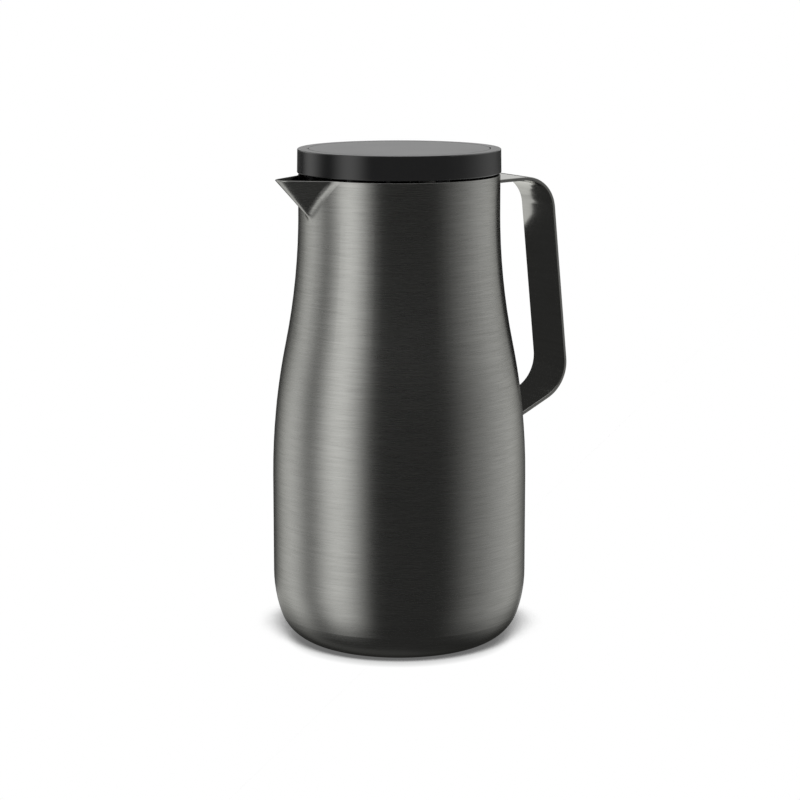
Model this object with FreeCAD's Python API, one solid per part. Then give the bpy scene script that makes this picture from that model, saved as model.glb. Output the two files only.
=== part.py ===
import FreeCAD, Part
import math
import os

# A steel vacuum jug of about one litre, with a lift-out stopper that pours while its top plate is pressed.
# Millimetres. The axis is Z, the table is z = 0, the handle is on +X and the spout on -X.

# Outer shell: its meridian is a polyline whose corners are bent.
# Radii are measured from the axis, heights from the table.
# The neck's length is counted down from the rim, and the shoulder's from the neck.
belly_radius = 59.7
neck_radius = 47.0
base_radius = 51.7
base_bend = 20.0
flank_height = 23.8
shoulder_length = 62.0
neck_length = 48.2
rim_height = 221.7
shell_wall = 0.8
rim_rounding = 0.3

# Spout: a rounded V pressed out of the neck, level with the rim.
spout_reach = 63.9
spout_half_width = 18.6
spout_depth = 18.4
spout_nose_radius = 7.5
spout_root_inset = 4.0
spout_crease_radius = 5.0

# Inner liner: belly and neck are drawn in one piece, and a shoulder is welded to the shell below the spout.
vacuum_gap = 7.5
liner_wall = 0.6
liner_bore_radius = 40.0
liner_floor_height = 12.0
liner_bend = 22.0
liner_shoulder_drop = 11.5
liner_neck_drop = 33.5
seat_below_rim = 25.5
seat_bend = 2.0
weld_lip = 3.5
weld_gap = 0.05

# Base: a pressed disc with a dimple for the vacuum seal, and a pad that the jug stands on.
base_lift = 0.8
base_hem = 1.3
base_disc_wall = 0.8
base_disc_height = 3.0
base_disc_bend = 1.5
dimple_radius = 9.0
dimple_depth = 2.6
dimple_bend = 0.8
evacuation_hole_radius = 1.5
seal_radius = 6.0
seal_thickness = 1.6
getter_radius = 6.0
getter_thickness = 2.4
pad_gap = 0.2
pad_rounding = 0.5

# Handle: the strap's outer face runs level from the neck, turns down and comes back to the belly.
# Its reaches are what it stands out from neck and belly.
strap_width = 27.5
strap_thickness = 1.6
strap_neck_drop = 3.6
strap_top_rise = 1.2
strap_top_reach = 28.9
strap_top_bend = 16.1
strap_foot_reach = 26.5
strap_foot_height = 117.6
strap_foot_bend = 18.8
strap_return_slope = 0.508
strap_edge_rounding = 0.35

# Lid: a black disc the size of the neck, with a plate set into its top.
lid_gap = 0.9
lid_height = 11.2
lid_overhang = 0.45
lid_draft = 0.18
lid_ring_width = 5.1
lid_floor_thickness = 3.2
lid_edge_rounding = 0.5
tube_radius = 9.5
tube_wall = 2.2
tube_depth = 32.5
tube_end_thickness = 3.0

# Press plate and its way down.
plate_gap = 0.25
plate_thickness = 2.2
plate_edge_rounding = 0.3
plate_skirt_wall = 1.6
plate_travel = 4.0
travel_spare = 0.5
rib_count = 6
rib_thickness = 1.4
hub_radius = 6.4
hub_length = 5.1
hub_socket_depth = 4.0

# Stopper: plug, flange and the pillars that stand between the pouring windows.
plug_gap = 0.6
plug_wall = 2.2
plug_depth = 26.0
seat_gap = 0.1
flange_gap = 1.0
flange_thickness = 3.0
pillar_count = 6
pillar_radius = 3.2
pillar_inset = 4.2
seal_groove_depth = 1.2
seal_height = 5.0
seal_below_flange = 4.0
seal_lip_count = 2
seal_lip_land = 0.6
seal_clearance = 0.3
seat_plate_thickness = 2.5
seat_spigot_height = 4.0
seat_spigot_wall = 1.8
mouth_radius = 16.0
fit_gap = 0.05

# Screws between lid and pillars.
screw_radius = 1.4
screw_head_radius = 2.6
screw_head_height = 1.8
screw_head_recess = 2.0
screw_length = 12.0
screw_slot_gap = 0.15

# Valve and stem.
stem_radius = 2.5
stem_running_gap = 0.06
stem_collar_radius = 4.2
stem_collar_height = 2.0
bush_radius = 4.2
bush_flange_thickness = 1.2
ring_section_radius = 0.9
ring_clearance = 0.3
ring_cap_wall = 1.2
valve_overlap = 4.0
valve_disc_thickness = 2.2
valve_hub_height = 4.0
valve_hub_radius = 6.0
gasket_thickness = 1.2
valve_seat_gap = 0.05
nut_across_flats = 8.0
nut_height = 3.6
stem_end = 0.8

# Return spring.
spring_wire_radius = 0.45
spring_coil_radius = 5.0
spring_turns = 6
spring_end_gap = 0.1

# How near counts as on a face.
touch = 0.02

vector = FreeCAD.Vector
axis = vector(0, 0, 1)
origin = vector(0, 0, 0)


def flat(point):
    """A (radius, height) pair as a point of the XZ plane."""
    return vector(point[0], 0, point[1])


def bent_edges(points, bends):
    """Edges of a polyline in the XZ plane, with a tangent arc of the given radius at each inner corner."""
    edges = []
    start = flat(points[0])
    for before, at, after, bend in zip(points, points[1:], points[2:], bends):
        corner = flat(at)
        way_in = (corner - flat(before)).normalize()
        way_out = (flat(after) - corner).normalize()
        turn = way_in.getAngle(way_out)
        reach = bend * math.tan(turn / 2)
        first = corner - way_in * reach
        if (first - start).Length > 1e-6:
            edges.append(Part.LineSegment(start, first).toShape())
        start = first
        if reach > 1e-6:
            inward = (way_out - way_in).normalize()
            centre = corner + inward * (bend / math.cos(turn / 2))
            last = corner + way_out * reach
            edges.append(Part.Arc(first, centre - inward * bend, last).toShape())
            start = last
    edges.append(Part.LineSegment(start, flat(points[-1])).toShape())
    return edges


def offset_run(points, bends, distance):
    """The polyline moved to the left of its run by a distance, with its bends to match."""
    ways = [(flat(b) - flat(a)).normalize() for a, b in zip(points, points[1:])]
    sides = [vector(-way.z, 0, way.x) for way in ways]
    moved = [flat(points[0]) + sides[0] * distance]
    moved_bends = []
    for index, bend in enumerate(bends):
        mitre = (sides[index] + sides[index + 1]) * (distance / (1 + sides[index].dot(sides[index + 1])))
        moved.append(flat(points[index + 1]) + mitre)
        turns_left = sides[index].dot(ways[index + 1]) > 0
        moved_bends.append(bend - distance if turns_left else bend + distance)
    moved.append(flat(points[-1]) + sides[-1] * distance)
    return [(point.x, point.z) for point in moved], moved_bends


def outline_face(edges, closing_points):
    """A face bounded by a run of edges, closed by straight lines through the given points."""
    start = edges[-1].lastVertex().Point
    lines = []
    for point in [flat(p) for p in closing_points] + [edges[0].firstVertex().Point]:
        lines.append(Part.LineSegment(start, point).toShape())
        start = point
    return Part.Face(Part.Wire(edges + lines))


def sheet_face(points, bends, thickness):
    """Section of a bent sheet: the polyline is one face of it, and the sheet lies to the left of its run."""
    inner_points, inner_bends = offset_run(points, bends, thickness)
    near = bent_edges(points, bends)
    far = bent_edges(inner_points[::-1], inner_bends[::-1])
    end_line = Part.LineSegment(flat(points[-1]), flat(inner_points[-1])).toShape()
    start_line = Part.LineSegment(flat(inner_points[0]), flat(points[0])).toShape()
    return Part.Face(Part.Wire(near + [end_line] + far + [start_line]))


def turned(points, roundings=None):
    """A ring or disc turned about the axis from a closed outline, with some of its corners rounded."""
    corners = roundings or {}
    middle = ((points[0][0] + points[-1][0]) / 2, (points[0][1] + points[-1][1]) / 2)
    run = [middle] + points + [middle]
    edges = bent_edges(run, [corners.get(index, 0) for index in range(len(points))])
    return Part.Face(Part.Wire(edges)).revolve(origin, axis, 360)


def cylinder(radius, low, high, x=0.0, y=0.0):
    """An upright cylinder between two heights."""
    return Part.makeCylinder(radius, high - low, vector(x, y, low), axis)


def s_curve_bend(lower, upper):
    """Bend radius at which the two arcs of an S-curve between upright walls meet in the middle."""
    run = flat(upper) - flat(lower)
    turn = run.getAngle(axis)
    return run.Length / 2 / math.tan(turn / 2)


# The outer meridian, from the flat base to the rim.
neck_height = rim_height - neck_length
shoulder_height = neck_height - shoulder_length
foot_corner = (base_radius, base_lift)
flank_corner = (belly_radius, flank_height)
shoulder_corner = (belly_radius, shoulder_height)
neck_corner = (neck_radius, neck_height)
rim_end = (neck_radius, rim_height)
flank_run = flat(flank_corner) - flat(foot_corner)
base_turn = flank_run.getAngle(vector(1, 0, 0))
base_bend_reach = base_bend * math.tan(base_turn / 2)
flank_bend = (flank_run.Length - base_bend_reach) / math.tan(flank_run.getAngle(axis) / 2)
body_bend = s_curve_bend(shoulder_corner, neck_corner)
shell_points = [(0, base_lift), foot_corner, flank_corner, shoulder_corner, neck_corner, rim_end]
shell_bends = [base_bend, flank_bend, body_bend, body_bend]
base_hole_radius = base_radius - base_bend_reach - base_hem

# Heights and radii that the closure shares with the body.
shell_bore = neck_radius - shell_wall
liner_seat_height = rim_height - seat_below_rim
seat_height = liner_seat_height + liner_wall
flange_low = seat_height + seat_gap
flange_high = flange_low + flange_thickness
flange_radius = shell_bore - weld_gap - liner_wall - flange_gap
plug_radius = liner_bore_radius - plug_gap
plug_bore = plug_radius - plug_wall
plug_low = flange_low - plug_depth
seat_low = plug_low - seat_plate_thickness
lid_low = rim_height + lid_gap
lid_top = lid_low + lid_height
lid_floor_top = lid_low + lid_floor_thickness
lid_radius = neck_radius + lid_overhang
lid_bore = lid_radius - lid_ring_width
pillar_circle = flange_radius - pillar_inset
pillar_places = [360.0 * (index + 0.5) / pillar_count for index in range(pillar_count)]
screw_seat = lid_floor_top - screw_head_recess
tube_low = lid_low - tube_depth
tube_floor = tube_low + tube_end_thickness
tube_bore = tube_radius - tube_wall
plate_low = lid_top - plate_thickness
skirt_low = lid_floor_top + plate_travel + travel_spare
plate_radius = lid_bore - plate_gap
hub_low = plate_low - hub_length
gasket_top = seat_low - valve_seat_gap
disc_top = gasket_top - gasket_thickness
valve_radius = mouth_radius + valve_overlap
hub_bottom = disc_top - valve_hub_height
stem_low = hub_bottom - nut_height - stem_end
stem_top = hub_low + hub_socket_depth


def spout_cone():
    """Outlines of the spout, which runs from one point inside the neck to a rounded V at the rim.

    The shift moves that form in by the sheet's thickness.
    """
    slope = spout_depth / (spout_reach - neck_radius)
    root_radius = neck_radius - spout_root_inset
    root = vector(-root_radius, 0, rim_height - slope * (spout_reach - root_radius))
    side_x = -math.sqrt(neck_radius ** 2 - spout_half_width ** 2)
    side = vector(side_x, spout_half_width, rim_height)
    centre = vector(spout_nose_radius - spout_reach, 0, rim_height)
    to_centre = centre - side
    lean = math.asin(spout_nose_radius / to_centre.Length)
    heading = math.atan2(to_centre.y, to_centre.x) - lean
    tangent_length = math.sqrt(to_centre.Length ** 2 - spout_nose_radius ** 2)
    tangent = side + vector(math.cos(heading), math.sin(heading), 0) * tangent_length
    back = side - vector(math.cos(heading), math.sin(heading), 0) * spout_half_width / 2
    nose = vector(-spout_reach, 0, rim_height)

    def mirrored(point):
        return vector(point.x, -point.y, point.z)

    def outline(scale):
        def place(point):
            return root + (point - root) * scale
        return Part.Wire([
            Part.LineSegment(place(back), place(tangent)).toShape(),
            Part.Arc(place(tangent), place(nose), place(mirrored(tangent))).toShape(),
            Part.LineSegment(place(mirrored(tangent)), place(mirrored(back))).toShape(),
            Part.LineSegment(place(mirrored(back)), place(back)).toShape()])

    side_normal = (tangent - root).cross(side - root).normalize()
    if side_normal.x > 0:
        side_normal = side_normal * -1
    keel = (nose - root).normalize()
    keel_normal = vector(-keel.z, 0, keel.x)
    determinant = side_normal.x * keel_normal.z - side_normal.z * keel_normal.x
    shift = vector(
        -shell_wall * (keel_normal.z - side_normal.z) / determinant, 0,
        -shell_wall * (side_normal.x - keel_normal.x) / determinant)
    return outline, shift


def with_spout(body, cone, crease):
    """A turned body joined to the spout's cone, with the crease between them rounded.

    The crease runs where one of the body's turned walls meets a wall of the cone.
    """
    joined = body.fuse(cone).removeSplitter()
    creases = []
    for edge in joined.Edges:
        walls = [isinstance(face.Surface, (Part.Cylinder, Part.Toroid))
                 for face in joined.ancestorsOfType(edge, Part.Face)]
        box = edge.BoundBox
        climbs = box.ZLength > touch and box.ZMin < rim_height - touch
        if climbs and any(walls) and not all(walls):
            creases.append(edge)
    return joined.makeFillet(crease, creases)


def body_solid():
    """Everything inside the shell's outer face, without the spout."""
    return outline_face(bent_edges(shell_points, shell_bends), [(0, rim_height)]).revolve(origin, axis, 360)


def make_outer_shell():
    outline, shift = spout_cone()
    near_root = 0.02
    past_rim = 1.5
    outer_cone = Part.makeLoft([outline(near_root), outline(1.0)], True, True)
    outer = with_spout(body_solid(), outer_cone, spout_crease_radius)
    above = (neck_radius, rim_height + spout_depth)
    inner_points, inner_bends = offset_run(shell_points[:-1] + [above], shell_bends, shell_wall)
    inner_face = outline_face(bent_edges(inner_points, inner_bends), [(0, above[1])])
    inner_cone = Part.makeLoft([outline(near_root), outline(past_rim)], True, True)
    inner_cone.translate(shift)
    inner_body = inner_face.revolve(origin, axis, 360)
    inner = with_spout(inner_body, inner_cone, spout_crease_radius + shell_wall)
    hole = cylinder(base_hole_radius, -1, base_lift + shell_wall + 1)
    shell = outer.cut(inner).cut(hole)
    rim_edges = []
    for edge in shell.Edges:
        box = edge.BoundBox
        if box.ZMin > rim_height - touch and box.ZMax < rim_height + touch:
            rim_edges.append(edge)
    return shell.makeFillet(rim_rounding, rim_edges)


def make_inner_liner():
    radius = belly_radius - shell_wall - vacuum_gap
    neck = liner_bore_radius + liner_wall
    weld = shell_bore - weld_gap
    shoulder = (radius, shoulder_height - liner_shoulder_drop)
    throat = (neck, neck_height - liner_neck_drop)
    bend = s_curve_bend(shoulder, throat)
    points = [
        (0, liner_floor_height), (radius, liner_floor_height), shoulder, throat,
        (neck, liner_seat_height), (weld, liner_seat_height), (weld, liner_seat_height + weld_lip)]
    face = sheet_face(points, [liner_bend, bend, bend, seat_bend, seat_bend], liner_wall)
    return face.revolve(origin, axis, 360)


def base_flange_bore():
    """Radius inside the base disc's down-turned edge."""
    return base_hole_radius - weld_gap - base_disc_wall


def make_base_disc():
    edge = base_flange_bore()
    points = [
        (0, base_disc_height + dimple_depth), (dimple_radius, base_disc_height + dimple_depth),
        (dimple_radius, base_disc_height), (edge, base_disc_height), (edge, base_lift)]
    bends = [dimple_bend, dimple_bend + base_disc_wall, base_disc_bend]
    disc = sheet_face(points, bends, base_disc_wall)
    hole = cylinder(evacuation_hole_radius, 0, base_disc_height + dimple_depth + 2 * base_disc_wall)
    return disc.revolve(origin, axis, 360).cut(hole)


def make_vacuum_seal():
    top = base_disc_height + dimple_depth
    return cylinder(seal_radius, top - seal_thickness, top)


def make_getter():
    low = base_disc_height + base_disc_wall
    halfway = (dimple_radius + base_flange_bore()) / 2
    return cylinder(getter_radius, low, low + getter_thickness, x=halfway)


def make_base_pad():
    radius = base_flange_bore() - pad_gap
    shoulder = base_disc_bend
    return turned(
        [(0, 0), (radius, 0), (radius, base_disc_height - shoulder),
         (radius - shoulder, base_disc_height), (0, base_disc_height)],
        {1: pad_rounding})


def make_handle_strap():
    top = rim_height - strap_neck_drop
    inside = belly_radius / 2
    foot_radius = belly_radius + strap_foot_reach
    foot_drop = (foot_radius - inside) * strap_return_slope
    points = [
        (inside, top), (neck_radius, top), (neck_radius + strap_top_reach, top + strap_top_rise),
        (foot_radius, strap_foot_height), (inside, strap_foot_height - foot_drop)]
    face = sheet_face(points, [0, strap_top_bend, strap_foot_bend], -strap_thickness)
    face.translate(vector(0, -strap_width / 2, 0))
    strap = face.extrude(vector(0, strap_width, 0))
    long_edges = []
    for edge in strap.Edges:
        box = edge.BoundBox
        on_side = abs(abs(box.Center.y) - strap_width / 2) < touch and box.YLength < touch
        if on_side and edge.Length > 2 * strap_thickness:
            long_edges.append(edge)
    strap = strap.makeFillet(strap_edge_rounding, long_edges)
    return strap.cut(body_solid())


def make_lid_cover():
    top_radius = lid_radius - lid_draft
    cover = turned(
        [(tube_bore, lid_low), (lid_radius, lid_low), (top_radius, lid_top), (lid_bore, lid_top),
         (lid_bore, lid_floor_top), (tube_bore, lid_floor_top)],
        {1: lid_edge_rounding, 2: lid_edge_rounding, 3: lid_edge_rounding / 2})
    tube = turned(
        [(bush_radius + fit_gap, tube_low), (tube_radius, tube_low), (tube_radius, lid_floor_top),
         (tube_bore, lid_floor_top), (tube_bore, tube_floor), (bush_radius + fit_gap, tube_floor)])
    cover = cover.fuse(tube).removeSplitter()
    for angle in pillar_places:
        x, y = screw_place(angle)
        cover = cover.cut(cylinder(screw_radius + screw_slot_gap, lid_low - 1, lid_floor_top, x, y))
        cover = cover.cut(cylinder(screw_head_radius + screw_slot_gap, screw_seat, lid_floor_top + 1, x, y))
    return cover


def screw_place(angle):
    """Where a pillar and its screw stand."""
    turn = math.radians(angle)
    return pillar_circle * math.cos(turn), pillar_circle * math.sin(turn)


def make_lid_screws():
    screws = []
    for angle in pillar_places:
        x, y = screw_place(angle)
        head = cylinder(screw_head_radius, screw_seat, screw_seat + screw_head_height, x, y)
        shank = cylinder(screw_radius, screw_seat - screw_length, screw_seat, x, y)
        screws.append(head.fuse(shank).removeSplitter())
    return Part.makeCompound(screws)


def seal_band():
    """Lowest and highest point of the neck seal."""
    high = flange_low - seal_below_flange
    return high - seal_height, high


def make_stopper_body():
    seal_low, seal_high = seal_band()
    groove = plug_radius - seal_groove_depth
    body = turned(
        [(plug_bore, plug_low), (plug_radius, plug_low), (plug_radius, seal_low), (groove, seal_low),
         (groove, seal_high), (plug_radius, seal_high), (plug_radius, flange_low),
         (flange_radius, flange_low), (flange_radius, flange_high), (plug_bore, flange_high)],
        {8: lid_edge_rounding})
    for angle in pillar_places:
        x, y = screw_place(angle)
        body = body.fuse(cylinder(pillar_radius, flange_low, lid_low, x, y))
    body = body.removeSplitter()
    for angle in pillar_places:
        x, y = screw_place(angle)
        body = body.cut(cylinder(screw_radius + fit_gap, screw_seat - screw_length - 1, lid_low + 1, x, y))
    return body


def make_seat_ring():
    spigot = plug_bore - fit_gap
    slope_top = plug_low + seat_spigot_height
    return turned(
        [(mouth_radius, seat_low), (plug_radius, seat_low), (plug_radius, plug_low), (spigot, plug_low),
         (spigot, slope_top), (spigot - seat_spigot_wall, slope_top), (mouth_radius, plug_low)],
        {1: lid_edge_rounding})


def make_neck_seal():
    low, high = seal_band()
    inner = plug_radius - seal_groove_depth + fit_gap
    lip = liner_bore_radius - seal_clearance
    root = plug_radius - seal_groove_depth / 2
    pitch = (high - low - 2 * fit_gap) / seal_lip_count
    points = [(inner, high - fit_gap), (inner, low + fit_gap)]
    for index in range(seal_lip_count):
        foot = low + fit_gap + pitch * index
        points += [(root, foot), (lip, foot + pitch - seal_lip_land), (lip, foot + pitch)]
    points.append((root, high - fit_gap))
    return turned(points)


def make_press_plate():
    skirt_bore = plate_radius - plate_skirt_wall
    plate = turned(
        [(0, plate_low), (skirt_bore, plate_low), (skirt_bore, skirt_low), (plate_radius, skirt_low),
         (plate_radius, lid_top), (0, lid_top)],
        {4: plate_edge_rounding})
    pieces = [cylinder(hub_radius, hub_low, plate_low)]
    for index in range(rib_count):
        rib = Part.makeBox(skirt_bore, rib_thickness, plate_low - skirt_low,
                           vector(0, -rib_thickness / 2, skirt_low))
        rib.rotate(origin, axis, 360.0 * index / rib_count)
        pieces.append(rib)
    plate = plate.fuse(pieces).removeSplitter()
    return plate.cut(cylinder(stem_radius + fit_gap, hub_low - 1, stem_top))


def make_stem_bush():
    bore = stem_radius + stem_running_gap
    flange = tube_bore - fit_gap
    return turned(
        [(bore, tube_low), (bush_radius, tube_low), (bush_radius, tube_floor), (flange, tube_floor),
         (flange, tube_floor + bush_flange_thickness), (bore, tube_floor + bush_flange_thickness)])


def make_stem_ring():
    middle = stem_radius + ring_clearance + ring_section_radius
    ring = Part.makeTorus(middle, ring_section_radius)
    ring.translate(vector(0, 0, tube_low - ring_section_radius - fit_gap))
    return ring


def make_ring_cap():
    low = tube_low - 2 * ring_section_radius - 2 * fit_gap
    bore = stem_radius + ring_clearance + 2 * ring_section_radius + fit_gap
    return turned(
        [(stem_radius + ring_clearance, low - ring_cap_wall), (tube_radius, low - ring_cap_wall),
         (tube_radius, tube_low), (bore, tube_low), (bore, low), (stem_radius + ring_clearance, low)])


def make_valve_stem():
    collar_high = disc_top + stem_collar_height
    return turned(
        [(0, stem_low), (stem_radius, stem_low), (stem_radius, disc_top), (stem_collar_radius, disc_top),
         (stem_collar_radius, collar_high), (stem_radius, collar_high), (stem_radius, stem_top),
         (0, stem_top)],
        {1: stem_radius / 5, 6: stem_radius / 5})


def make_valve_disc():
    bore = stem_radius + fit_gap
    low = disc_top - valve_disc_thickness
    return turned(
        [(bore, hub_bottom), (valve_hub_radius, hub_bottom), (valve_hub_radius, low), (valve_radius, low),
         (valve_radius, disc_top), (bore, disc_top)],
        {3: lid_edge_rounding})


def make_valve_gasket():
    inner = mouth_radius - valve_overlap / 2
    return turned(
        [(inner, disc_top), (valve_radius, disc_top), (valve_radius, gasket_top), (inner, gasket_top)])


def make_stem_nut():
    corner = nut_across_flats / math.sqrt(3)
    low = hub_bottom - nut_height
    points = []
    for index in range(7):
        turn = math.radians(60.0 * index)
        points.append(vector(corner * math.cos(turn), corner * math.sin(turn), low))
    prism = Part.Face(Part.makePolygon(points)).extrude(vector(0, 0, nut_height))
    return prism.cut(cylinder(stem_radius + fit_gap, low - 1, hub_bottom + 1))


def biarc(start, start_way, end, end_way):
    """Two tangent arcs from one point and direction to another."""
    run = end - start
    both = start_way + end_way
    square = 2 * (1 - start_way.dot(end_way))
    linear = run.dot(both)
    reach = (math.sqrt(linear ** 2 + square * run.dot(run)) - linear) / square
    joint = (start + end + (start_way - end_way) * reach) * 0.5
    arcs = []
    for near, way, far in ((start, start_way, joint), (end, end_way * -1, joint)):
        chord = far - near
        side = (chord - way * chord.dot(way)).normalize()
        radius = chord.dot(chord) / (2 * side.dot(chord))
        centre = near + side * radius
        middle = centre + ((near - centre) + (far - centre)).normalize() * radius
        arcs.append((near, middle, far))
    (a, b, c), (d, e, f) = arcs
    return [Part.Arc(a, b, c).toShape(), Part.Arc(f, e, d).toShape()]


def make_return_spring():
    low = tube_floor + bush_flange_thickness + spring_wire_radius + spring_end_gap
    high = hub_low - spring_wire_radius - spring_end_gap
    steps = 4 * spring_turns
    rise = (high - low) / steps
    lean = rise / (spring_coil_radius * math.pi / 2)

    def place(step):
        turn = math.pi / 2 * step
        spoke = vector(math.cos(turn), math.sin(turn), 0)
        spot = spoke * spring_coil_radius + axis * (low + rise * step)
        way = vector(-spoke.y, spoke.x, lean).normalize()
        return spot, way

    edges = []
    for step in range(steps):
        start, start_way = place(step)
        end, end_way = place(step + 1)
        edges += biarc(start, start_way, end, end_way)
    first, first_way = place(0)
    section = Part.Wire(Part.Circle(first, first_way, spring_wire_radius).toShape())
    gap = 4 * rise * math.cos(math.atan(lean)) - 2 * spring_wire_radius
    print("return_spring least gap between turns", round(gap, 2))
    return Part.Wire(edges).makePipeShell([section], True, False)


def export(name, shape):
    solids = len(shape.Solids)
    print(name, "valid" if shape.isValid() else "NOT VALID", solids, "solids", round(shape.Volume, 1), "mm3")
    shape.exportStep("parts/" + name + ".step")


os.makedirs("parts", exist_ok=True)
export("outer_shell", make_outer_shell())
export("inner_liner", make_inner_liner())
export("base_disc", make_base_disc())
export("vacuum_seal", make_vacuum_seal())
export("getter", make_getter())
export("base_pad", make_base_pad())
export("handle_strap", make_handle_strap())
export("lid_cover", make_lid_cover())
export("lid_screws", make_lid_screws())
export("stopper_body", make_stopper_body())
export("seat_ring", make_seat_ring())
export("neck_seal", make_neck_seal())
export("stem_bush", make_stem_bush())
export("stem_ring", make_stem_ring())
export("ring_cap", make_ring_cap())
export("press_plate", make_press_plate())
export("valve_stem", make_valve_stem())
export("valve_disc", make_valve_disc())
export("valve_gasket", make_valve_gasket())
export("stem_nut", make_stem_nut())
export("return_spring", make_return_spring())
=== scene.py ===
import bpy
import math
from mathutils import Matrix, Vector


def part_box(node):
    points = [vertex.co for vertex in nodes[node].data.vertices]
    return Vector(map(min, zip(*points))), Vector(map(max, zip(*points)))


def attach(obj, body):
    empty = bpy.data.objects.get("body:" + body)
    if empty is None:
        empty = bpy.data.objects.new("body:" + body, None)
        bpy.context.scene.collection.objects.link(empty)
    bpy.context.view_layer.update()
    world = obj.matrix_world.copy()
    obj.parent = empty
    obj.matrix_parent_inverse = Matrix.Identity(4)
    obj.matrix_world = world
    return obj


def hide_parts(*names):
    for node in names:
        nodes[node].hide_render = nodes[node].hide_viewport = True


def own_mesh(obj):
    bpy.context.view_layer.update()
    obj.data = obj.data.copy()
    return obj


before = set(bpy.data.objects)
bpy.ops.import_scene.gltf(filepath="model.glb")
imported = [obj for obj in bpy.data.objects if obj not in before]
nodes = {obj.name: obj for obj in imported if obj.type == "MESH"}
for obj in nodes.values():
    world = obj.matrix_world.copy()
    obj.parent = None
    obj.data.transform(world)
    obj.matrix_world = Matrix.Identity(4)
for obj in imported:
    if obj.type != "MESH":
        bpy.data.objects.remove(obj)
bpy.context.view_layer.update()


# Outer shell.
# The jug's body is one sheet of dark stainless steel, spun to shape, with the spout pressed out of
# its rim. It is brushed round the axis with a fine belt, so hairlines run level all over it.

def new_finish(name):
    """A material with its node tree and its shader."""
    material = bpy.data.materials.new(name)
    material.use_nodes = True
    tree = material.node_tree
    return material, tree, tree.nodes["Principled BSDF"]


def put(tree, kind, inputs=None, **settings):
    """Adds a node. Each input takes a plain value or another node's output."""
    made = tree.nodes.new(kind)
    for name, value in settings.items():
        setattr(made, name, value)
    for name, value in (inputs or {}).items():
        if isinstance(value, bpy.types.NodeSocket):
            tree.links.new(value, made.inputs[name])
        else:
            made.inputs[name].default_value = value
    return made


def grain(tree, spacing, detail=2.0):
    """Grain from 0 to 1 whose marks are as long along each axis as the spacing says, in metres."""
    place = put(tree, "ShaderNodeTexCoord").outputs["Object"]
    stretch = [1.0 / length for length in spacing]
    drawn = put(tree, "ShaderNodeMapping", {"Vector": place, "Scale": stretch}).outputs["Vector"]
    return put(tree, "ShaderNodeTexNoise", {
        "Vector": drawn, "Scale": 1.0, "Detail": detail}).outputs["Fac"]


def blended(tree, first, second, share):
    """Two grains laid over each other, the first with the given share."""
    rest = put(tree, "ShaderNodeMath", {0: second, 1: 1 - share}, operation="MULTIPLY").outputs[0]
    return put(tree, "ShaderNodeMath", {
        0: first, 1: share, 2: rest}, operation="MULTIPLY_ADD").outputs[0]


def span(tree, value, low, high):
    """A grain turned into numbers between two limits."""
    return put(tree, "ShaderNodeMapRange", {
        "Value": value, "From Min": 0.3, "From Max": 0.7,
        "To Min": low, "To Max": high}).outputs["Result"]


def tint(tree, value, dark, light):
    """A grain turned into colours between two."""
    return put(tree, "ShaderNodeMixRGB", {
        "Fac": span(tree, value, 0, 1),
        "Color1": (*dark, 1), "Color2": (*light, 1)}).outputs["Color"]


def surface(tree, shader, value, dark, light, smooth, rough, relief, depth):
    """Colour, gloss and relief of a surface from one grain."""
    tree.links.new(tint(tree, value, dark, light), shader.inputs["Base Color"])
    tree.links.new(span(tree, value, smooth, rough), shader.inputs["Roughness"])
    bump = put(tree, "ShaderNodeBump", {"Height": value, "Strength": relief, "Distance": depth})
    tree.links.new(bump.outputs["Normal"], shader.inputs["Normal"])


def brushed_round(tree, shader):
    """Reflections drawn out up and down, as level hairlines do."""
    shader.inputs["Metallic"].default_value = 1.0
    shader.inputs["Anisotropic"].default_value = 0.6
    shader.inputs["Anisotropic Rotation"].default_value = 0.25
    level = put(tree, "ShaderNodeTangent", direction_type="RADIAL", axis="Z")
    tree.links.new(level.outputs["Tangent"], shader.inputs["Tangent"])


def finish_with(material, *names):
    """Gives a finish to pieces that keep the frame's own shape."""
    for name in names:
        mesh = nodes[name].data
        mesh.materials.clear()
        mesh.materials.append(material)


dark_steel, tree, shader = new_finish("dark_steel")
fine_lines = grain(tree, (0.014, 0.014, 0.00034), detail=2.5)
broad_lines = grain(tree, (0.05, 0.05, 0.0014))
hairlines = blended(tree, fine_lines, broad_lines, share=0.8)
surface(tree, shader, hairlines, dark=(0.215, 0.215, 0.207), light=(0.285, 0.285, 0.275),
        smooth=0.27, rough=0.28, relief=0.005, depth=0.00004)
brushed_round(tree, shader)
shader.inputs["Specular Tint"].default_value = (0.5, 0.5, 0.49, 1)
finish_with(dark_steel, "outer_shell")


# Inner liner.
# The vessel that holds the drink, deep-drawn from thin stainless sheet and welded to the shell
# inside the neck. It is left bright, with faint rings from the spinning tool.

bright_steel, tree, shader = new_finish("bright_steel")
fine_rings = grain(tree, (0.03, 0.03, 0.0006))
broad_rings = grain(tree, (0.2, 0.2, 0.004))
rings = blended(tree, fine_rings, broad_rings, share=0.6)
surface(tree, shader, rings, dark=(0.5, 0.495, 0.48), light=(0.6, 0.595, 0.58),
        smooth=0.16, rough=0.26, relief=0.06, depth=0.00005)
brushed_round(tree, shader)
finish_with(bright_steel, "inner_liner")


# Base disc, vacuum seal and getter.
# The disc is pressed from the liner's sheet and welded into the shell's hem to close the vacuum
# space. A button of solder seals its hole, and a pellet of pressed metal powder sits on it inside.

finish_with(bright_steel, "base_disc")

solder, tree, shader = new_finish("solder")
cast_skin = grain(tree, (0.0012, 0.0012, 0.0012), detail=4.0)
surface(tree, shader, cast_skin, dark=(0.42, 0.42, 0.43), light=(0.56, 0.56, 0.55),
        smooth=0.3, rough=0.5, relief=0.3, depth=0.0001)
shader.inputs["Metallic"].default_value = 1.0
finish_with(solder, "vacuum_seal")

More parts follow.
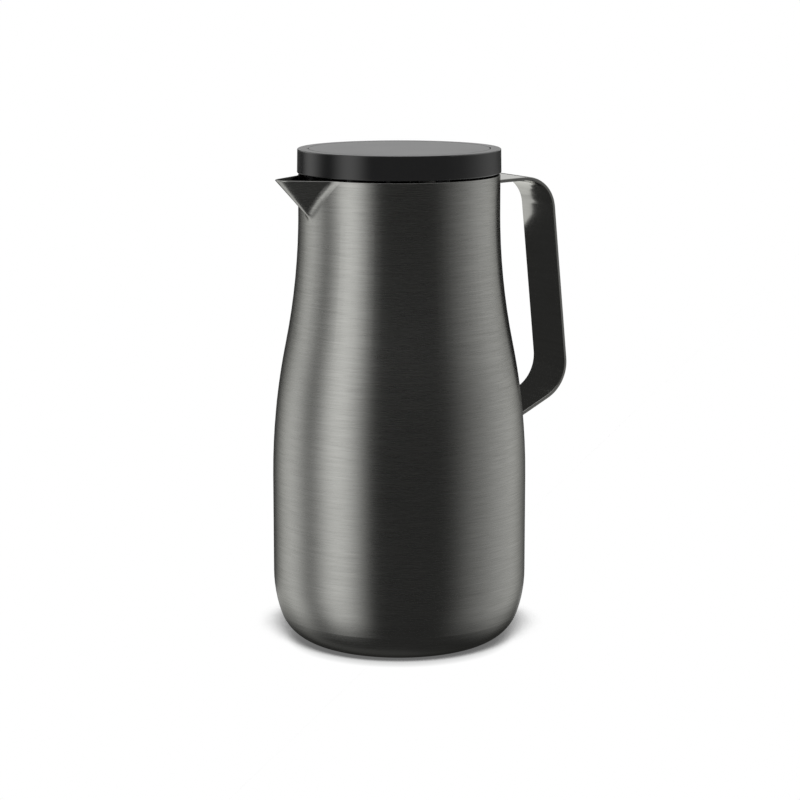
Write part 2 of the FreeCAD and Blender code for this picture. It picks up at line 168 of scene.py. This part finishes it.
pressed_powder, tree, shader = new_finish("pressed_powder")
powder = grain(tree, (0.0004, 0.0004, 0.0004), detail=4.0)
surface(tree, shader, powder, dark=(0.24, 0.24, 0.25), light=(0.36, 0.36, 0.36),
        smooth=0.6, rough=0.8, relief=0.5, depth=0.0001)
shader.inputs["Metallic"].default_value = 1.0
finish_with(pressed_powder, "getter")


# Base pad.
# A disc of black rubber glued into the base disc, on which the jug stands.
# Its skin is matt and slightly mottled from the mould.

black_rubber, tree, shader = new_finish("black_rubber")
rubber_skin = grain(tree, (0.0005, 0.0005, 0.0005), detail=3.0)
rubber_clouds = grain(tree, (0.012, 0.012, 0.012))
mottle = blended(tree, rubber_skin, rubber_clouds, share=0.6)
surface(tree, shader, mottle, dark=(0.014, 0.014, 0.014), light=(0.03, 0.03, 0.029),
        smooth=0.6, rough=0.78, relief=0.35, depth=0.00006)
finish_with(black_rubber, "base_pad")


# Handle strap.
# One flat bar of the shell's steel, bent twice over a former and welded to neck and belly.
# Belt marks run across it, and its long edges are broken with a file.

strap_steel, tree, shader = new_finish("strap_steel")
fine_marks = grain(tree, (0.0004, 0.03, 0.0004), detail=3.0)
broad_marks = grain(tree, (0.002, 0.06, 0.002))
belt_marks = blended(tree, fine_marks, broad_marks, share=0.7)
surface(tree, shader, belt_marks, dark=(0.225, 0.225, 0.216), light=(0.277, 0.277, 0.266),
        smooth=0.075, rough=0.105, relief=0.06, depth=0.00004)
shader.inputs["Metallic"].default_value = 1.0
shader.inputs["Specular Tint"].default_value = (0.8, 0.8, 0.78, 1)
finish_with(strap_steel, "handle_strap")


# Stopper body, seat ring and ring cap.
# Black polypropylene mouldings: the plug with its flange and six pillars, the ring with the valve's
# seat, and the cap that keeps the stem's sealing ring in place.

inner_black, tree, shader = new_finish("inner_black")
mould_skin = grain(tree, (0.0006, 0.0006, 0.0006))
mould_flow = grain(tree, (0.015, 0.015, 0.006))
moulding = blended(tree, mould_skin, mould_flow, share=0.5)
surface(tree, shader, moulding, dark=(0.012, 0.012, 0.0125), light=(0.02, 0.02, 0.0205),
        smooth=0.34, rough=0.46, relief=0.12, depth=0.00005)
finish_with(inner_black, "stopper_body", "seat_ring", "ring_cap")


# Neck seal, stem ring and valve gasket.
# Soft grey silicone, moulded with a matt skin that picks up a little dust.

silicone, tree, shader = new_finish("silicone")
silicone_skin = grain(tree, (0.0008, 0.0008, 0.0008), detail=3.0)
dust = grain(tree, (0.01, 0.01, 0.01))
dusty_skin = blended(tree, silicone_skin, dust, share=0.5)
surface(tree, shader, dusty_skin, dark=(0.42, 0.42, 0.415), light=(0.52, 0.52, 0.51),
        smooth=0.5, rough=0.62, relief=0.15, depth=0.00005)
shader.inputs["Subsurface Weight"].default_value = 0.15
shader.inputs["Subsurface Radius"].default_value = (0.002, 0.002, 0.0018)
finish_with(silicone, "neck_seal", "stem_ring", "valve_gasket")


# Lid cover.
# A black polypropylene moulding: the lid's side is polished in the mould, its top has a fine spark
# texture, and a tube for spring and stem hangs below it. Six screws hold it to the plug's pillars.

side_gloss = 0.06
side_relief = 0.008
top_relief = 0.1
top_slope, top_level = 0.5, 0.9

lid_black, tree, shader = new_finish("lid_black")
spark_pits = grain(tree, (0.00028, 0.00028, 0.00028), detail=3.0)
spark_clouds = grain(tree, (0.02, 0.02, 0.02))
spark = blended(tree, spark_pits, spark_clouds, share=0.75)
surface(tree, shader, spark, dark=(0.0103, 0.0103, 0.0105), light=(0.0137, 0.0137, 0.014),
        smooth=0.31, rough=0.37, relief=top_relief, depth=0.00004)
shader.inputs["Specular IOR Level"].default_value = 0.37
facing = put(tree, "ShaderNodeSeparateXYZ", {
    "Vector": put(tree, "ShaderNodeNewGeometry").outputs["True Normal"]}).outputs["Z"]
on_top = put(tree, "ShaderNodeMapRange", {
    "Value": facing, "From Min": top_slope, "From Max": top_level}).outputs["Result"]
textured = shader.inputs["Roughness"].links[0].from_socket
gloss = put(tree, "ShaderNodeMix", {"Factor": on_top, "A": side_gloss, "B": textured})
tree.links.new(gloss.outputs["Result"], shader.inputs["Roughness"])
relief = put(tree, "ShaderNodeMapRange", {
    "Value": on_top, "To Min": side_relief, "To Max": top_relief}).outputs["Result"]
tree.links.new(relief, shader.inputs["Normal"].links[0].from_node.inputs["Strength"])
finish_with(lid_black, "lid_cover")


# Lid screws, valve stem and stem nut.
# Plain stainless, turned on a lathe: the six lid screws, the rod from the press plate to the valve,
# and the nut on its end.

turned_steel, tree, shader = new_finish("turned_steel")
fine_cuts = grain(tree, (0.004, 0.004, 0.00018))
broad_cuts = grain(tree, (0.01, 0.01, 0.002))
tool_marks = blended(tree, fine_cuts, broad_cuts, share=0.6)
surface(tree, shader, tool_marks, dark=(0.52, 0.515, 0.5), light=(0.62, 0.615, 0.6),
        smooth=0.2, rough=0.32, relief=0.1, depth=0.00004)
shader.inputs["Metallic"].default_value = 1.0
finish_with(turned_steel, "lid_screws", "valve_stem", "stem_nut")


# Stem bush.
# A white bearing-plastic guide pressed into the tube's end.

bearing_white, tree, shader = new_finish("bearing_white")
waxy_skin = grain(tree, (0.0015, 0.0015, 0.0015), detail=3.0)
surface(tree, shader, waxy_skin, dark=(0.7, 0.7, 0.68), light=(0.78, 0.78, 0.76),
        smooth=0.35, rough=0.45, relief=0.08, depth=0.00005)
finish_with(bearing_white, "stem_bush")


# Press plate.
# The disc in the lid's top, moulded from the lid's plastic with the same spark texture.
# It is pushed down to pour.

finish_with(lid_black, "press_plate")


# Valve disc.
# A black disc under the plug's mouth, held on the stem by the nut, that carries the gasket.

finish_with(inner_black, "valve_disc")


# Return spring.
# Stainless spring wire, coiled in six turns between the tube's floor and the plate's hub.
# It shortens as the plate goes down in the real jug; here the coil keeps one length.

wire_radius = 0.00045
coil_radius = 0.005
coil_turns = 6
coil_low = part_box("return_spring")[0][2] + wire_radius
coil_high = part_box("return_spring")[1][2] - wire_radius
steps_per_turn = 48
wire_sides = 12


def new_piece(name, points, faces, material):
    """An object of one mesh and one finish."""
    mesh = bpy.data.meshes.new(name)
    mesh.from_pydata(points, [], faces)
    mesh.materials.append(material)
    piece = bpy.data.objects.new(name, mesh)
    bpy.context.collection.objects.link(piece)
    return piece


coil_points = []
coil_faces = []
coil_steps = coil_turns * steps_per_turn
lean = math.atan2(coil_high - coil_low, coil_turns * 2 * math.pi * coil_radius)
for step in range(coil_steps + 1):
    turn = 2 * math.pi * step / steps_per_turn
    height = coil_low + (coil_high - coil_low) * step / coil_steps
    spoke = (math.cos(turn), math.sin(turn))
    for side in range(wire_sides):
        angle = 2 * math.pi * side / wire_sides
        out = wire_radius * math.cos(angle)
        up = wire_radius * math.sin(angle)
        coil_points.append((
            spoke[0] * (coil_radius + out) + spoke[1] * up * math.sin(lean),
            spoke[1] * (coil_radius + out) - spoke[0] * up * math.sin(lean),
            height + up * math.cos(lean)))
for step in range(coil_steps):
    for side in range(wire_sides):
        here = step * wire_sides + side
        beside = step * wire_sides + (side + 1) % wire_sides
        coil_faces.append((here, here + wire_sides, beside + wire_sides, beside))
coil_faces.append(tuple(range(wire_sides)))
coil_faces.append(tuple(coil_steps * wire_sides + side for side in reversed(range(wire_sides))))
coil = new_piece("spring_wire", coil_points, coil_faces, turned_steel)
coil.data.shade_smooth()
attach(coil, "closure")
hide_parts("return_spring")
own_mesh(coil)


# Floor and sky.
# A wide white floor under an even white sky. For the camera the floor glows white, with a painted
# thin dark line where the jug stands and a soft painted shadow that falls away from a painted
# light.

floor_reach = 30.0
contact_reach = 0.008
contact_shut, contact_open = -0.13, 0.78
contact_grey = 0.49
cast_reach = 0.045
cast_tilt = math.radians(80)
cast_shut, cast_open = 0.708, 0.788
cast_grey = 0.236
painted_light_from = (-0.491, -0.871)

floor_white, tree, shader = new_finish("floor_white")
shader.inputs["Base Color"].default_value = (0.95, 0.95, 0.95, 1)
shader.inputs["Roughness"].default_value = 1.0
shader.inputs["Specular IOR Level"].default_value = 0.0
# Painted shadow: how much the jug hides each floor point, close by and towards the painted light,
# dims the floor's glow for the camera.
contact = put(tree, "ShaderNodeAmbientOcclusion", {
    "Distance": contact_reach}, samples=24).outputs["AO"]
painted_contact_shadow = put(tree, "ShaderNodeMapRange", {
    "Value": contact, "From Min": contact_shut, "From Max": contact_open,
    "To Min": contact_grey, "To Max": 1.0}).outputs["Result"]
towards_light = put(tree, "ShaderNodeCombineXYZ", {
    "X": painted_light_from[0] * math.sin(cast_tilt), "Y": painted_light_from[1] * math.sin(cast_tilt),
    "Z": math.cos(cast_tilt)}).outputs["Vector"]
cast = put(tree, "ShaderNodeAmbientOcclusion", {
    "Distance": cast_reach, "Normal": towards_light}, samples=40).outputs["AO"]
painted_cast_shadow = put(tree, "ShaderNodeMapRange", {
    "Value": cast, "From Min": cast_shut, "From Max": cast_open,
    "To Min": cast_grey, "To Max": 1.0}).outputs["Result"]
painted_floor_shade = put(tree, "ShaderNodeMath", {
    0: painted_contact_shadow, 1: painted_cast_shadow}, operation="MULTIPLY").outputs[0]
painted_shadow_glow = put(tree, "ShaderNodeEmission", {
    "Color": (1, 1, 1, 1), "Strength": painted_floor_shade}).outputs["Emission"]
seen = put(tree, "ShaderNodeLightPath").outputs["Is Camera Ray"]
floor_look = put(tree, "ShaderNodeMixShader", {
    0: seen, 1: shader.outputs["BSDF"], 2: painted_shadow_glow}).outputs["Shader"]
tree.links.new(floor_look, tree.nodes["Material Output"].inputs["Surface"])

floor_corners = [(-floor_reach, -floor_reach, 0), (floor_reach, -floor_reach, 0),
                 (floor_reach, floor_reach, 0), (-floor_reach, floor_reach, 0)]
floor = new_piece("floor", floor_corners, [(0, 1, 2, 3)], floor_white)
floor.visible_glossy = False

sky = bpy.data.worlds.new("sky")
sky.use_nodes = True
sky.node_tree.nodes["Background"].inputs["Color"].default_value = (1, 1, 1, 1)
sky.node_tree.nodes["Background"].inputs["Strength"].default_value = 1.0
bpy.context.scene.world = sky


# Cloth ring.
# A drum of dark cloth hung round the jug, with soft lit panels sewn in and a bottom of the same
# cloth. It shows only in reflections, as the light and dark bands of the steel.

camera_bearing = 240.6
ring_radius = 1.2
columns = 180
cloth_glow = 0.07
# Each panel: its middle and half width in degrees from the camera, strength, share lost in depth.
body_panels = ((-57, 37.5, 1.98, 0.2), (-118, 43, 1.55, 0.0), (95, 60, 0.65, 0.1),
               (124, 48, 0.65, 0.1), (133, 30, 0.46, 0.1))
lid_panels = ((-56.5, 28, 1.7, 0.0), (-113, 28, 0.85, 0.0),
              (112, 45, 0.45, 0.0), (90, 45, 0.15, 0.0))

ring_top, ring_top_behind = 1.2, 0.32
behind_from, behind_blend = 148, 14
lid_low, lid_high = 0.126, 0.19
body_low, body_high = -0.08, 0.115
body_above_lid = 0.2
deep_height = -0.3
foot_glow = 1.6
foot_low, foot_high = -0.75, -0.36
foot_from_left, foot_from_right, foot_blend = 122, 150, 12
faded_height, faded_share = -1.25, 0.25
ring_foot = -1.6


def cloth_light(panels, bearing, depth=0.0):
    """How bright the panels make the ring in one direction, at its middle or in its depth."""
    glow = cloth_glow
    for middle, half_width, strength, fade in panels:
        away = abs((bearing - middle + 180) % 360 - 180)
        if away < half_width:
            glow += strength * (1 - fade * depth) * math.cos(math.pi / 2 * away / half_width) ** 2
    return glow


def ramp(bearing, start, blend):
    """Rises from 0 to 1 over some degrees, the same on both sides of the camera."""
    return min(1.0, max(0.0, (abs(bearing) - start) / blend))


def cloth_rows(bearing):
    """Heights and brightness of the ring in one direction. Behind the jug it is low."""
    top = ring_top + (ring_top_behind - ring_top) * ramp(bearing, behind_from, behind_blend)
    foot_from = foot_from_left if bearing < 0 else foot_from_right
    foot = foot_glow * ramp(bearing, foot_from, foot_blend)
    lid = cloth_light(lid_panels, bearing)
    body = cloth_light(body_panels, bearing)
    deep = cloth_light(body_panels, bearing, 1.0)
    faded = cloth_glow + faded_share * (deep - cloth_glow)
    return [(ring_foot, cloth_glow + foot), (faded_height, faded + foot),
            (foot_low, max(deep, foot)), (foot_high, max(deep, foot)), (deep_height, deep),
            (body_low, body), (body_high, body), (lid_low, lid), (lid_high, lid),
            (body_above_lid, body), (top, body)]


def new_cloth(name):
    """A cloth that gives off its own light and reflects none."""
    material, tree, shader = new_finish(name)
    shader.inputs["Base Color"].default_value = (0, 0, 0, 1)
    shader.inputs["Specular IOR Level"].default_value = 0.0
    shader.inputs["Emission Color"].default_value = (1, 1, 0.985, 1)
    return material, tree, shader


def only_reflected(thing):
    """Keeps a part of the studio out of sight and out of the light, but for reflections."""
    thing.visible_camera = False
    thing.visible_diffuse = False
    thing.visible_transmission = False
    thing.visible_shadow = False


cloth, tree, shader = new_cloth("cloth")
tree.links.new(put(tree, "ShaderNodeAttribute", attribute_name="glow").outputs["Fac"],
               shader.inputs["Emission Strength"])

ring_points = [(0, 0, ring_foot)]
ring_glows = [cloth_glow]
ring_faces = []
rows = len(cloth_rows(0))
for column in range(columns):
    bearing = 360.0 * column / columns - 180
    turn = math.radians(camera_bearing + bearing)
    for height, glow in cloth_rows(bearing):
        ring_points.append((ring_radius * math.cos(turn), ring_radius * math.sin(turn), height))
        ring_glows.append(glow)
    here = 1 + rows * column
    there = 1 + rows * ((column + 1) % columns)
    ring_faces.append((0, there, here))
    for row in range(rows - 1):
        ring_faces.append((here + row, there + row, there + row + 1, here + row + 1))
ring = new_piece("cloth_ring", ring_points, ring_faces, cloth)
ring.data.attributes.new("glow", "FLOAT", "POINT").data.foreach_set("value", ring_glows)
only_reflected(ring)


# Dark cards.
# Two cards of the ring's cloth that show only in reflections: a round one on the floor, a painted
# shadow under the jug, darkens the turn of the body's foot; one behind the handle darkens the
# strap's inner face.

card_cloth, tree, shader = new_cloth("card_cloth")
shader.inputs["Emission Strength"].default_value = cloth_glow
tree.links.new(put(tree, "ShaderNodeAttribute", attribute_name="cover").outputs["Fac"],
               shader.inputs["Alpha"])


def dark_card(name, points, faces, covers):
    """A card that thins out where its cover falls from 1 to 0."""
    card = new_piece(name, points, faces, card_cloth)
    card.data.attributes.new("cover", "FLOAT", "POINT").data.foreach_set("value", covers)
    only_reflected(card)


# Painted shadow, seen only in reflections: full under the foot, thinning out to nothing at its
# edge.
under_x, under_y, under_z = 0.007, 0.012, 0.0002
under_dark, under_edge = 0.058, 0.097
under_sides = 60
under_points = [(under_x, under_y, under_z)]
for radius in (under_dark, under_edge):
    for side in range(under_sides):
        turn = math.radians(360 / under_sides * side)
        under_points.append((under_x + radius * math.cos(turn),
                             under_y + radius * math.sin(turn), under_z))
under_faces = []
for side in range(under_sides):
    inner, inner_next = 1 + side, 1 + (side + 1) % under_sides
    under_faces.append((0, inner, inner_next))
    under_faces.append((inner, under_sides + inner, under_sides + inner_next, inner_next))
dark_card("card_under_jug", under_points, under_faces,
          [1.0] * (1 + under_sides) + [0.0] * under_sides)

behind_y = 0.065
behind_dark = ((0.016, 0.1), (0.092, 0.1), (0.092, 0.1738), (0.0725, 0.1695), (0.058, 0.1725),
               (0.049, 0.1775), (0.0405, 0.184), (0.037, 0.21), (0.016, 0.21))
behind_edge = ((-0.006, 0.05), (0.115, 0.05), (0.115, 0.1738), (-0.006, 0.23), (0.037, 0.23))
behind_points = [(x, behind_y, z) for x, z in behind_dark + behind_edge]
behind_faces = [tuple(range(len(behind_dark))),
                (0, 9, 10, 1), (1, 10, 11, 2), (0, 8, 12, 9), (8, 7, 13, 12)]
dark_card("card_behind_handle", behind_points, behind_faces,
          [1.0] * len(behind_dark) + [0.0] * len(behind_edge))


# Camera.
# A long lens a little above the lid, with the spout on its left and the handle on its right.

camera_place = (-0.5818, -1.0325, 0.3271)
camera_down = 10.14
camera_turn = -29.418
lens = bpy.data.cameras.new("camera")
lens.sensor_width = 36.0
lens.lens = 114.87
camera = bpy.data.objects.new("camera", lens)
camera.location = camera_place
camera.rotation_euler = (math.radians(90 - camera_down), 0, math.radians(camera_turn))
bpy.context.collection.objects.link(camera)
bpy.context.scene.camera = camera
bpy.context.scene.view_settings.view_transform = "Standard"
